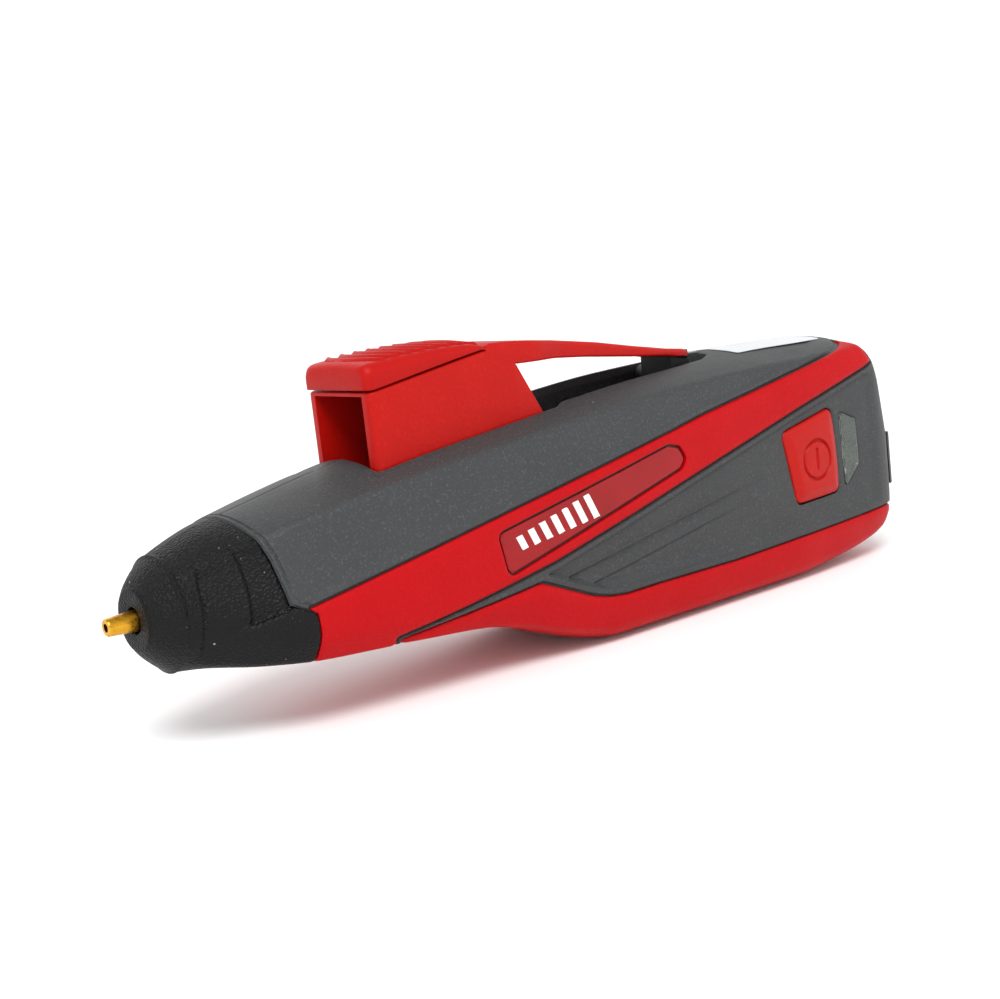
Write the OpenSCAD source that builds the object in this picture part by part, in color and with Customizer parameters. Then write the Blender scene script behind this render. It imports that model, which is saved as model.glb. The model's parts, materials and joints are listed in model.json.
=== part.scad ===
// Cordless glue pen for 7 mm sticks: two moulded half shells with soft overmoulds,
// a top lever that pushes the stick, a heated nose and a side switch.
// The nozzle points to -X, the rear inlet to +X, and the tool's left side to -Y.

/* [Body] */
// Height of the nozzle axis over the flat belly
axis_h = 25.5; // [25.3:0.1:25.5]
// Thickness of the moulded shell
wall = 2; // [1.8:0.1:2.2]
// Depth of the red overmoulds in the shell
over_t = 1; // [0.8:0.1:1.1]
// Thickness of the soft nose sleeve
sleeve_t = 2.2; // [2:0.1:2.4]

/* [Glue path] */
// Radius of the glue outlet in the nozzle tip
outlet_r = 0.8; // [0.6:0.1:0.9]
// Radius of the stick inlet at the rear
inlet_r = 4.05; // [4.05:0.05:4.2]
// Outer radius of the melt chamber
chamber_r = 6.8; // [6.4:0.1:6.8]
// Outer radius of the stick guide tube
guide_r = 4.9; // [4.6:0.1:4.9]

/* [Battery] */
// Radius of the battery cell
cell_r = 9; // [8.6:0.1:9]
// Length of the battery cell
cell_len = 65; // [60:1:65]

/* [Lever] */
// Width of the lever box
lever_w = 21.6; // [21:0.1:21.6]
// Thickness of the lever box's side walls
lever_wall = 2.2; // [2:0.1:2.2]
// Radius of the lever pin
lever_pin_r = 1.5; // [1.4:0.1:1.5]
// Running clearance of pins in their holes
run_gap = 0.06; // [0.04:0.01:0.08]

/* [Hidden] */

$fn = 48;
tool_len = 195.6;   // nozzle tip to the back of the dust cover
rear_x = 193.6;     // flat rear face
big = 200;          // longer than the tool, for cutting solids
lever_pivot = [141, 23.5];
rocker_pivot = [74, 10];
roller_arm = 18.4;  // rocker pivot to roller
rocker_rest = 10.6; // rocker's turn from upright at rest
trunnion = [77, -6];
jaw_pivot = [89, 7.2];
cover_hinge = [194.6, -7];
cell_x = 103;
cell_z = -14.2;
frame_y = [6.7, 7.9];   // side plates of the feed frame
cheek_y = [5.2, 6.4];   // cheeks of the rocker
board_y = [-13.4, -11.8];
screw_spots = [[44, 12.8], [92, -15], [120, 18.5], [178, 13.5], [180, -11]];

// Half sections of the body along the axis, from the top ridge to the belly:
// x, ridge z, then y and z of the crease, shoulder, flank, lower flank and
// belly edge, and the belly's z. Heights are from the nozzle axis.
rings = [
  [10.2, 11.0, [7.8, 7.8], [11.0, 0.6], [10.3, -3.9], [8.4, -7.1], [5.0, -9.8], -11.0],
  [15, 13.1, [9.2, 9.4], [12.4, 0.8], [11.8, -4.2], [9.8, -8.0], [5.8, -10.8], -11.7],
  [20, 14.6, [11.0, 10.7], [14.0, 0.8], [13.6, -4.8], [11.6, -8.8], [7.4, -11.5], -12.1],
  [24, 15.3, [12.8, 11.6], [16.0, 0.6], [15.8, -5.6], [13.8, -9.6], [9.4, -12.0], -12.3],
  [28, 16.0, [13.8, 12.4], [17.8, -0.2], [17.8, -6.5], [15.6, -10.6], [11.0, -12.3], -12.5],
  [33, 17.0, [14.6, 13.4], [18.6, -1.5], [18.7, -7.5], [16.8, -11.3], [12.4, -12.7], -12.8],
  [44, 19.2, [15.8, 15.2], [19.4, 0.4], [19.6, -8.2], [17.8, -12.0], [13.6, -13.3], -13.4],
  [58, 21.4, [16.9, 16.9], [20.2, 3.2], [20.5, -9.0], [18.8, -12.8], [14.2, -14.2], -14.3],
  [70, 22.8, [17.5, 18.3], [20.7, 5.4], [21.0, -9.6], [19.4, -13.6], [14.4, -15.4], -15.6],
  [79, 23.7, [17.8, 19.2], [21.0, 7.2], [21.3, -10.2], [19.9, -15.2], [14.4, -17.8], -18.0],
  [88, 24.6, [18.1, 20.1], [21.3, 9.0], [21.6, -11.0], [20.3, -17.4], [14.4, -21.2], -21.5],
  [97, 25.4, [18.4, 21.0], [21.5, 10.8], [21.8, -11.8], [20.6, -19.0], [14.4, -24.2], -24.5],
  [104, 26.0, [18.6, 21.7], [21.6, 12.2], [21.9, -12.4], [20.7, -19.8], [14.4, -25.5], -25.5],
  [130, 27.5, [18.9, 23.6], [21.6, 16.4], [21.9, -13.2], [20.7, -20.0], [14.4, -25.5], -25.5],
  [158, 27.7, [18.8, 24.3], [21.2, 20.2], [21.6, -13.6], [20.5, -19.9], [14.4, -25.5], -25.5],
  [176, 27.2, [18.4, 24.2], [20.8, 21.4], [20.9, -13.8], [19.8, -18.8], [13.6, -24.2], -24.4],
  [185, 26.4, [17.6, 23.4], [20.0, 20.4], [20.2, -13.9], [19.2, -18.0], [13.0, -22.8], -23.0],
  [190.5, 22.6, [16.6, 20.2], [19.0, 17.6], [19.3, -13.9], [18.4, -17.2], [12.4, -21.0], -21.2],
  [rear_x, 17.4, [15.2, 15.4], [17.4, 13.6], [17.8, -13.6], [17.0, -16.2], [11.4, -18.6], -18.6]];

// Side views of the seams, x and height from the nozzle axis
nose_seam = [[24, 40], [24, 15.3], [25, 11.6], [26.2, 7.9], [26.8, 3.8], [27.4, -0.4],
  [30.5, -2], [32, -3.2], [32.2, -7], [32, -9.4], [31.6, -12.5], [31.6, -40]];
band_outline = [[31, -1.8], [39, -0.3], [68, 5.2], [122, 15.2], [131, 17], [182, 25],
  [186, 25.6], [188.6, 20.3], [160, 13.6], [135, 7.4], [110, 1], [86, -4.9], [65, -8.8],
  [48.5, -11.6], [47, -40], [31, -40]];
grip_outline = [[50, -12.6], [66, -10.6], [82, -8.6], [95, -14.2], [99, -15.3], [104, -15.9],
  [113, -15.8], [137, -16], [188, -14.6], [big, -14.4], [big, -40], [50, -40]];
badge_outline = [[73.2, 3], [119, 12.2], [122, 11.4], [123.4, 8.8], [122, 7.2], [74.6, -5.2]];
button_outline = [[154.5, 8.8], [171.7, 12.1], [172.5, -7.4], [157.8, -7.9]];
window_outline = [[174.6, 10.4], [180, 8.1], [180.4, -2.4], [174.9, -6.9]];
slot_outline = [[53.4, 11.3], [99, 11.3], [101, 9.8], [130, 9.4], [145, 7.6], [150, 4.6],
  [151.2, 0]];

grey = [0.27, 0.28, 0.285];
red = [0.8, 0.02, 0.06];
lever_red = [0.72, 0.08, 0.06];
black = [0.1, 0.1, 0.105];

// Moves a piece from the nozzle tip's axes to the tool's own frame
module place() { translate([-tool_len / 2, 0, axis_h]) children(); }

// Extrudes a side view, x and height, between two values of y
module side_plate(points, y0, y1) {
  translate([0, y1, 0]) rotate([90, 0, 0]) linear_extrude(y1 - y0) polygon(points);
}

// A box between two corners
module block(low, high) { translate(low) cube(high - low); }

// Cylinders along X, and along Y at a point of the side view
module rod_x(x0, x1, r) { translate([x0, 0, 0]) rotate([0, 90, 0]) cylinder(h = x1 - x0, r = r); }
module rod_y(spot, y0, y1, r) {
  translate([spot[0], y1, spot[1]]) rotate([90, 0, 0]) cylinder(h = y1 - y0, r = r);
}

// A tube along X
module tube_x(x0, x1, r_in, r_out) {
  difference() {
    rod_x(x0, x1, r_out);
    rod_x(x0 - 1, x1 + 1, r_in);
  }
}

function mid(a, b) = (a + b) / 2;
function crown(ring, k) = [ring[2][0] * k, ring[1] - (ring[1] - ring[2][1]) * k * k];
// The belly's corner bulges beyond the line between its two edges
function belly_corner(ring) = [ring[5][0] * 0.62 + ring[6][0] * 0.46, ring[5][1] * 0.3 + ring[6][1] * 0.7];
function half_section(ring) = [[0, ring[1]], crown(ring, 0.35), crown(ring, 0.7), ring[2],
  ring[3], ring[4], ring[5], belly_corner(ring), ring[6], [0, ring[7]]];
function section(ring) = let (half = half_section(ring))
  concat(half, [for (i = [len(half) - 2:-1:1]) [-half[i][0], half[i][1]]]);
// Moves a point of a section inwards, towards the section's middle
function inset(p, ring, t) = let (w = ring[4][0], h = (ring[1] - ring[7]) / 2, c = mid(ring[1], ring[7]))
  [p[0] * (w - t) / w, c + (p[1] - c) * (h - t) / h];
// The rear face leans forward above the middle
function lean(x, z) = x - max(0, x - 185) / (rear_x - 185) * 0.14 * max(0, z - 2);

// The body's outer form, made smaller by t all round
module body(t) {
  n = len(section(rings[0]));
  count = len(rings);
  points = [for (ring = rings) for (p = section(ring)) let (q = inset(p, ring, t))
    [lean(ring[0], q[1]), q[0], q[1]]];
  sides = [for (i = [0:count - 2]) for (j = [0:n - 1]) let (k = (j + 1) % n)
    each [[i * n + j, i * n + k, (i + 1) * n + k], [i * n + j, (i + 1) * n + k, (i + 1) * n + j]]];
  polyhedron(points, concat(sides, [[for (j = [n - 1:-1:0]) j]],
    [[for (j = [0:n - 1]) (count - 1) * n + j]]));
}

// The half of space on the tool's left (-1) or right (1)
module half(side) { translate([-5, side < 0 ? -big : 0, -big / 2]) cube([2 * big, big, big]); }

module nose_zone() { side_plate(concat([[-10, 40]], nose_seam, [[-10, -40]]), -50, 50); }
module overmould_zones() {
  side_plate(band_outline, -50, 50);
  side_plate(grip_outline, -50, 50);
}

// Plates inside the shell that carry the chamber, the feed, the cell and the tube
module ribs(side) {
  difference() {
    union() {
      intersection() {
        body(sleeve_t + 0.05);
        block([26.2, -30, -30], [28.8, 30, 30]);
      }
      intersection() {
        body(wall / 2);
        union() {
          block([56.2, -30, -30], [58.8, 30, -3]);
          for (x = [66, 90]) block([x, -30, -13], [x + 2, 30, -3]);
          for (x = [110, 134]) block([x, -30, -30], [x + 2, 30, 9]);
          block([184, side < 0 ? -11 : 0, -30], [186, side < 0 ? 0 : 30, 9]);
        }
      }
    }
    rod_x(20, 60, 8.45);
    rod_x(100, 190, guide_r + 0.05);
    translate([0, 0, cell_z]) rod_x(60, 180, cell_r + 0.15);
    block([60, -frame_y[1] - 0.05, -30], [100, frame_y[1] + 0.05, 30]);
    block([50, -15.2, -13], [180, -8.4, -9.2]);
  }
}

// The right half's bosses are wider, because the screw heads sit in them
module screw_boss(spot, side) {
  intersection() {
    body(wall / 2);
    rod_y(spot, side < 0 ? -30 : 0, side < 0 ? 0 : 30, side < 0 ? 2.6 : 3.9);
  }
}

// Block under the slot's rim that holds one end of the lever pin
module pin_boss(side) {
  intersection() {
    body(wall / 2);
    block([137.4, side < 0 ? -12 : 8, 19.5], [144.6, side < 0 ? -8 : 12, 27]);
  }
}

// Slot in the top for the lever
module lever_slot() {
  linear_extrude(60) polygon(concat(slot_outline, [for (i = [5:-1:0])
    [slot_outline[i][0], -slot_outline[i][1]]]));
}

// Front end of the shell under the nose sleeve
module spigot() {
  intersection() {
    difference() {
      union() {
        body(sleeve_t + 0.05);
        difference() {
          body(wall / 2);
          nose_zone();
        }
      }
      body(sleeve_t + 1.8);
    }
    block([23, -50, -50], [33.5, 50, 50]);
  }
}

module housing(side) {
  intersection() {
    half(side);
    difference() {
      union() {
        difference() {
          body(0);
          nose_zone();
          difference() {
            overmould_zones();
            body(over_t);
          }
          intersection() {
            body(wall);
            block([20, -50, -50], [189.6, 50, 50]);
          }
          lever_slot();
        }
        spigot();
        ribs(side);
        for (spot = screw_spots) screw_boss(spot, side);
        pin_boss(side);
      }
      // Stick inlet and lever pin
      rod_x(180, 200, 5.85);
      rod_y(lever_pivot, -11.5, 11.5, lever_pin_r);
      if (side < 0) left_openings(); else for (spot = screw_spots) screw_hole(spot);
      if (side < 0) for (spot = screw_spots) rod_y(spot, -8.2, 1, 1);
    }
  }
}

module screw_hole(spot) {
  rod_y(spot, -1, 9, 1.3);
  rod_y(spot, 9, 30, 2.7);
}

// Openings of the left shell for the switch, the light and the charging socket
module left_openings() {
  side_plate(rounded(button_outline, 0.15), -30, -15);
  side_plate(window_outline, -30, -15);
  block([185, -17.2, -8.4], [200, -12.6, 1.6]);
}

// The button's outline grown by a margin, about its middle
function rounded(points, margin) = let (c = [164.1, 1.4])
  [for (p = points) c + (p - c) * (1 + margin / 8.4)];

module overmould(outline, side) {
  intersection() {
    half(side);
    difference() {
      body(0);
      body(over_t);
      nose_zone();
      if (side > 0) rod_y(screw_spots[1], 9, 30, 2.7);
      side_plate(badge_outline, side < 0 ? -50 : 10, side < 0 ? -10 : 50);
    }
    side_plate(outline, -50, 50);
  }
}

module badge(side) {
  intersection() {
    half(side);
    difference() {
      body(0.1);
      body(over_t);
    }
    side_plate(badge_outline, -50, 50);
  }
}

module housing_left() { color(grey) place() housing(-1); }
module housing_right() { color(grey) place() housing(1); }
module side_band_left() { color(red) place() overmould(band_outline, -1); }
module side_band_right() { color(red) place() overmould(band_outline, 1); }
module belly_grip_left() { color(red) place() overmould(grip_outline, -1); }
module belly_grip_right() { color(red) place() overmould(grip_outline, 1); }
module badge_left() { color([0.6, 0.05, 0.06]) place() badge(-1); }
module badge_right() { color([0.6, 0.05, 0.06]) place() badge(1); }

module nose_sleeve() {
  color(black) place() difference() {
    union() {
      intersection() {
        body(0);
        nose_zone();
      }
      rotate([0, 90, 0]) rotate_extrude() polygon([[0, 5], [5.6, 5], [6.4, 5.4], [10.2, 9.6],
        [10.5, 10.4], [10.5, 11.2], [0, 11.2]]);
    }
    intersection() {
      body(sleeve_t);
      block([14.5, -50, -50], [40, 50, 50]);
    }
    rod_x(0, 20, 4);
  }
}

module rating_label() {
  color("white") place() intersection() {
    difference() {
      body(-0.12);
      body(0);
    }
    block([155, -9, 20], [183, 9, 40]);
  }
}

module nozzle() {
  color([0.75, 0.58, 0.2]) place() rotate([0, 90, 0]) rotate_extrude()
    polygon([[outlet_r, 0], [1.5, 0], [1.65, 0.25], [2, 5.4], [2, 7], [3.7, 9], [3.7, 16],
      [3, 16], [3, 22], [2.2, 22], [2.2, 18], [outlet_r, 10]]);
}

module melt_chamber() {
  color([0.72, 0.73, 0.75]) place() difference() {
    union() {
      rod_x(16, 62, chamber_r);
      block([35, -5, -8.2], [54, 5, -5]);
    }
    block([45, -3, chamber_r - 0.2], [55, 3, chamber_r + 1]);
    rod_x(15, 22, 3);
    rotate([0, 90, 0]) rotate_extrude() polygon([[0, 21], [2.2, 21], [2.2, 22], [3.75, 30],
      [3.75, 63], [0, 63]]);
  }
}

module heater_plate() { color([0.92, 0.9, 0.85]) place() block([35, -4.5, -10.2], [54, 4.5, -8.2]); }

module heater_clip() {
  color([0.6, 0.6, 0.62]) place() {
    block([38, -7.6, -10.8], [43, 7.6, -10.2]);
    for (y = [-7.6, 7]) block([38, y, -10.8], [43, y + 0.6, 4.5]);
  }
}

module thermostat() {
  color([0.85, 0.83, 0.78]) place() {
    block([46, -3, chamber_r - 0.2], [54, 3, chamber_r + 1.6]);
    block([48.6, -2, chamber_r + 1.6], [51.4, 2, chamber_r + 2.2]);
  }
}

module chamber_collars() {
  color([0.35, 0.2, 0.12]) place() for (x = [26.2, 56.2]) tube_x(x, x + 2.6, chamber_r, 8.4);
}

module inlet_sleeve() {
  color([0.75, 0.3, 0.2]) place() difference() {
    union() {
      rod_x(62, 68, 5.5);
      rod_x(62, 62.5, chamber_r);
    }
    rod_x(61, 69, 3.78);
  }
}

module feed_frame() {
  color([0.16, 0.16, 0.17]) place() difference() {
    union() {
      block([62.5, -frame_y[1], -10.2], [98, frame_y[1], -9]);
      block([62.5, -frame_y[1], -10.2], [64.5, frame_y[1], 7]);
      for (y = [-frame_y[1], frame_y[0]]) side_plate([[62.5, -10.2], [98, -10.2], [98, 1],
        [84, 6], [79, 13], [69, 13], [62.5, 7]], y, y + frame_y[1] - frame_y[0]);
    }
    rod_x(60, 70, 5.55);
    rod_y(rocker_pivot, -10, 10, 1.2);
  }
}

module rocker_pin() { color("silver") place() rod_y(rocker_pivot, -frame_y[1], frame_y[1], 1.2); }

module guide_tube() { color([0.85, 0.85, 0.82]) place() tube_x(101, 188, 3.85, guide_r); }

module inlet_ring() { color(black) place() tube_x(188, 194.2, inlet_r, 5.8); }

module battery_cell() {
  color([0.15, 0.3, 0.5]) place() translate([0, 0, cell_z]) {
    rod_x(cell_x, cell_x + cell_len, cell_r);
    rod_x(cell_x + cell_len, cell_x + cell_len + 0.8, 3);
  }
}

module battery_tabs() {
  color("silver") place() {
    block([cell_x - 0.3, -3, cell_z - 3], [cell_x, 3, cell_z + 6]);
    block([cell_x + cell_len + 0.8, -3, cell_z - 3], [cell_x + cell_len + 1.1, 3, cell_z + 6]);
  }
}

module circuit_board() {
  color([0.05, 0.35, 0.15]) place() block([150, board_y[0], -8.2], [188.5, board_y[1], 10.4]);
}

module board_chips() {
  color(black) place() {
    block([156, board_y[1], -4], [162, board_y[1] + 1.2, 2]);
    block([166, board_y[1], 3], [170, board_y[1] + 1, 7]);
    for (z = [-6, -3, 0]) block([172, board_y[1], z], [174, board_y[1] + 0.7, z + 1.2]);
  }
}

module tact_switch() {
  color([0.2, 0.2, 0.2]) place() {
    block([161, board_y[0] - 3.4, -1.5], [167, board_y[0], 4.5]);
    rod_y([164, 1.5], board_y[0] - 4.2, board_y[0] - 3.4, 1.7);
  }
}

module status_led() {
  color([0.9, 0.9, 0.8]) place() {
    block([175.5, board_y[0] - 1, 0], [179.5, board_y[0], 4]);
    translate([177.5, board_y[0] - 1, 2]) rotate([90, 0, 0]) cylinder(h = 1.2, r = 1.5);
  }
}

module light_window() {
  color([0.85, 0.9, 0.85, 0.5]) place() intersection() {
    difference() {
      body(0.3);
      body(wall + 0.4);
    }
    side_plate(window_outline, -50, -10);
  }
}

module charge_socket() {
  color([0.7, 0.7, 0.72]) place() difference() {
    block([183, board_y[0] - 3.2, -7.9], [191.6, board_y[0], 1.1]);
    block([185, board_y[0] - 2.8, -7.5], [192, board_y[0] - 0.4, 0.7]);
  }
}

// Four points of each heater lead, from the heater back to the circuit board
lead_routes = [[[46, -5.5, -9.2], [55, -13.6, -10.9], [153, -13.6, -10.9], [158, -12.6, -9.1]],
  [[50, -5.5, -9.2], [60, -11.6, -10.9], [146, -11.6, -10.9], [150.8, -12.6, -9.1]]];

function unit(v) = v / norm(v);

// A round wire along a route, as one swept solid; ref is a direction it never runs in
module sweep(route, r, sides, ref) {
  last = len(route) - 1;
  points = [for (i = [0:last])
    let (along = unit(route[min(i + 1, last)] - route[max(i - 1, 0)]),
      across = unit(cross(along, ref)), up = cross(across, along))
    for (j = [0:sides - 1]) let (a = j * 360 / sides)
      route[i] + r * (cos(a) * across + sin(a) * up)];
  faces = [for (i = [0:last - 1]) for (j = [0:sides - 1]) let (k = (j + 1) % sides)
    each [[i * sides + j, i * sides + k, (i + 1) * sides + k],
      [i * sides + j, (i + 1) * sides + k, (i + 1) * sides + j]]];
  polyhedron(points, concat(faces, [[for (j = [sides - 1:-1:0]) j]],
    [[for (j = [0:sides - 1]) last * sides + j]]));
}

module heater_leads() {
  color([0.7, 0.1, 0.1]) place() for (route = lead_routes) sweep(route, 0.6, 8, [0, 0, 1]);
}

module housing_screws() {
  color("silver") place() for (spot = screw_spots) {
    rod_y(spot, -8, 9.2, 1);
    difference() {
      rod_y(spot, 9, 10.8, 2.3);
      for (turn = [0, 90]) translate([spot[0], 10.6, spot[1]]) rotate([0, turn, 0])
        cube([3, 1.4, 0.6], center = true);
    }
  }
}

module lever_pin() { color("silver") place() rod_y(lever_pivot, -11.5, 11.5, lever_pin_r); }

// Side views of the lever: the box with its arm, and the hollow of the box
lever_outline = [[54, 15.5], [54, 33.2], [82, 37.4], [84, 38.6], [93, 38], [102, 36.8],
  [114, 34.8], [126, 32.3], [136, 30.4], [142.4, 29.5], [144.2, 28.7], [143.6, 27.2],
  [136, 28.8], [124, 30.3], [112, 32], [101, 33.2], [90, 33.6], [98.4, 18]];
lever_hollow = [[50, 12], [50, 30.6], [80, 34.6], [86, 34.2], [92.6, 22.5], [95.4, 17], [95.4, 12]];

module lever() {
  half_w = lever_w / 2;
  color(lever_red) place() difference() {
    union() {
      intersection() {
        side_plate(lever_outline, -half_w, half_w);
        translate([0, 0, -10]) linear_extrude(60) polygon([[53, half_w - 1.5], [54.2, half_w],
          [96, half_w], [104, half_w - 2], [130, half_w - 3.2], [145, 5.2], [145, -5.2],
          [130, 3.2 - half_w], [104, 2 - half_w], [96, -half_w], [54.2, -half_w],
          [53, 1.5 - half_w]]);
      }
      // Foot over the rocker's roller, and the eye round the lever pin
      side_plate([[88, 15.3], [95.5, 15.3], [95.5, 24], [88, 34.5]], -4.8, 4.8);
      side_plate([[138.4, 29.6], [143.6, 28.8], [143.9, 23.5], [138.2, 23.5]], -4.8, 4.8);
      rod_y(lever_pivot, -7.2, 7.2, 2.9);
    }
    difference() {
      side_plate(lever_hollow, lever_wall - half_w, half_w - lever_wall);
      side_plate([[88, 15.3], [99, 15.3], [99, 24], [88, 35]], -4.8, 4.8);
    }
    rod_y(lever_pivot, -20, 20, lever_pin_r + run_gap);
  }
}

module lever_cap() {
  half_w = lever_w / 2;
  color(lever_red) place() difference() {
    side_plate([[53.8, 33.4], [55.2, 33.4], [82, 37.5], [82.6, 38.6], [79, 40.2], [70, 40.5],
      [56, 39.6], [54.4, 38.9], [53.8, 38]], -half_w, half_w);
    for (i = [0:7]) translate([58.6 + 2.9 * i, -8, 40.3 + 0.06 * i]) cube([1, 16, 1.4]);
  }
}

// The rocker's cheeks turn on a pin: fork arm down to the carriage, roller arm back
module rocker_cheek(y0, y1) {
  difference() {
    union() {
      rod_y([0, 0], y0, y1, 2.9);
      side_plate([[-2.6, 0], [-2.6, -17.6], [2.6, -17.6], [2.6, 0]], y0, y1);
      side_plate([[0, 2.8], [roller_arm, 1.6], [roller_arm, -1.6], [0, -2.8]], y0, y1);
      rod_y([roller_arm, 0], y0, y1, 1.6);
    }
    side_plate([[-1.22, -14.2], [-1.22, -20], [1.22, -20], [1.22, -14.2]], y0 - 1, y1 + 1);
    rod_y([0, 0], y0 - 1, y1 + 1, 1.2 + run_gap);
    rod_y([roller_arm, 0], y0 - 1, y1 + 1, 0.8);
  }
}

module at_rocker() {
  translate([rocker_pivot[0], 0, rocker_pivot[1]]) rotate([0, -rocker_rest, 0]) children();
}

module feed_rocker() {
  color([0.8, 0.8, 0.78]) place() at_rocker() {
    rocker_cheek(-cheek_y[1], -cheek_y[0]);
    rocker_cheek(cheek_y[0], cheek_y[1]);
    // Bridge that keeps the cheeks together
    block([2.5, -cheek_y[0], 1.2], [5.5, cheek_y[0], 2.6]);
  }
}

module rocker_roller() {
  color("silver") place() at_rocker() {
    rod_y([roller_arm, 0], -cheek_y[0] + 0.1, cheek_y[0] - 0.1, 1.6);
    rod_y([roller_arm, 0], -cheek_y[1], cheek_y[1], 0.8);
  }
}

module feed_carriage() {
  color([0.85, 0.85, 0.8]) place() difference() {
    union() {
      block([78, -4.9, -4.9], [92, 4.9, 5.2]);
      block([75.2, -4.9, -8.6], [80, 4.9, -4]);
      rod_y(trunnion, -6.3, 6.3, 1.1);
      for (y = [-4.2, 2.8]) block([86.6, y, 5], [91.4, y + 1.4, 9.2]);
    }
    rod_x(70, 95, 3.85);
    block([79.4, -2.7, 0], [87, 2.7, 8]);
    rod_y(jaw_pivot, -6, 6, 0.9);
  }
}

module jaw_pin() { color("silver") place() rod_y(jaw_pivot, -4.2, 4.2, 0.9); }

module gripper_jaw() {
  color([0.55, 0.56, 0.58]) place() difference() {
    side_plate([[81, 6.4], [81.4, 4.1], [82.4, 5.2], [83, 4.1], [84, 5.6], [87, 5.9], [90.6, 5.9],
      [90.8, 8.4], [88, 9], [81, 8.2]], -2.3, 2.3);
    rod_y(jaw_pivot, -3, 3, 0.9 + run_gap);
  }
}

module return_spring() {
  turns = 6;
  coil = [for (i = [0:turns * 10]) [64.8 + 10.1 * i / (turns * 10), 1.3 * cos(i * 36),
    1.3 * sin(i * 36) - 7.2]];
  color("silver") place() sweep(coil, 0.26, 6, [1, 0, 0]);
}

module power_button() {
  color([0.8, 0.1, 0.08]) place() {
    side_plate(button_outline, -21.7, -18.6);
    side_plate(rounded(button_outline, 0.9), -18.6, -18.2);
    rod_y([164, 1.5], -18.3, board_y[0] - 4.75, 2);
  }
}

module dust_cover() {
  color(black) place() {
    block([rear_x + 0.05, -17.8, -9.8], [tool_len, -7.9, 2.4]);
    block([rear_x - 1, -16.6, -8.1], [rear_x + 0.1, -13.2, 1.3]);
    translate([cover_hinge[0], cover_hinge[1], -9.8]) cylinder(h = 12.2, r = 0.95);
  }
}

housing_left();
housing_right();
nose_sleeve();
side_band_left();
side_band_right();
belly_grip_left();
belly_grip_right();
badge_left();
badge_right();
rating_label();
nozzle();
melt_chamber();
heater_plate();
heater_clip();
thermostat();
chamber_collars();
inlet_sleeve();
feed_frame();
rocker_pin();
guide_tube();
inlet_ring();
battery_cell();
battery_tabs();
circuit_board();
board_chips();
tact_switch();
status_led();
light_window();
charge_socket();
heater_leads();
housing_screws();
lever_pin();
lever();
lever_cap();
feed_rocker();
rocker_roller();
feed_carriage();
jaw_pin();
gripper_jaw();
return_spring();
power_button();
dust_cover();
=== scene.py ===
"""Looks of a cordless glue pen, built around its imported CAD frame.

All lengths in this file are millimetres from the nozzle tip: x back along the tool, y to its
right, z up from the nozzle axis. metres() turns them into the row frame.
"""

import json
import math

import bmesh
import bpy
import numpy as np
from mathutils import Matrix, Vector


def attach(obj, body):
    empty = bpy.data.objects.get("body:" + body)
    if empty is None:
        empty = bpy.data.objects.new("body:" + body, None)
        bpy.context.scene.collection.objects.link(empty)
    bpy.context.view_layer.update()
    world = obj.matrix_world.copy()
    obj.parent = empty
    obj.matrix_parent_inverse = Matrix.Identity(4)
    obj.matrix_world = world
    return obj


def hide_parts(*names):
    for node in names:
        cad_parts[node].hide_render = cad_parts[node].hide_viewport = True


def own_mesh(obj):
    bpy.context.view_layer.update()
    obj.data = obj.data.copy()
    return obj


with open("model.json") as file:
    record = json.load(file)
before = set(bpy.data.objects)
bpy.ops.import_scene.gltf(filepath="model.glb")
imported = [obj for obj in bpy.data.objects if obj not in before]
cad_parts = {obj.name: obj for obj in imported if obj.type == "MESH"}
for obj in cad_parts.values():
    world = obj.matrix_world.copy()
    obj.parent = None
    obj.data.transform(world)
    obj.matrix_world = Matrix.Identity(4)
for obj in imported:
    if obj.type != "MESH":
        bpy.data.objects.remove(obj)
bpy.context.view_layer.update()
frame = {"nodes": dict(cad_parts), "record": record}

MM = 0.001
scene = bpy.context.scene
ORIGIN = np.array([-97.8, 0, 25.5])


def metres(points):
    return (np.asarray(points, float) + ORIGIN) * MM


# The body's form

REAR_X = 193.6
# The rear leans forward, from this x on, by this share of the height
LEAN_FROM, LEAN = 185, 0.14
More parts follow.
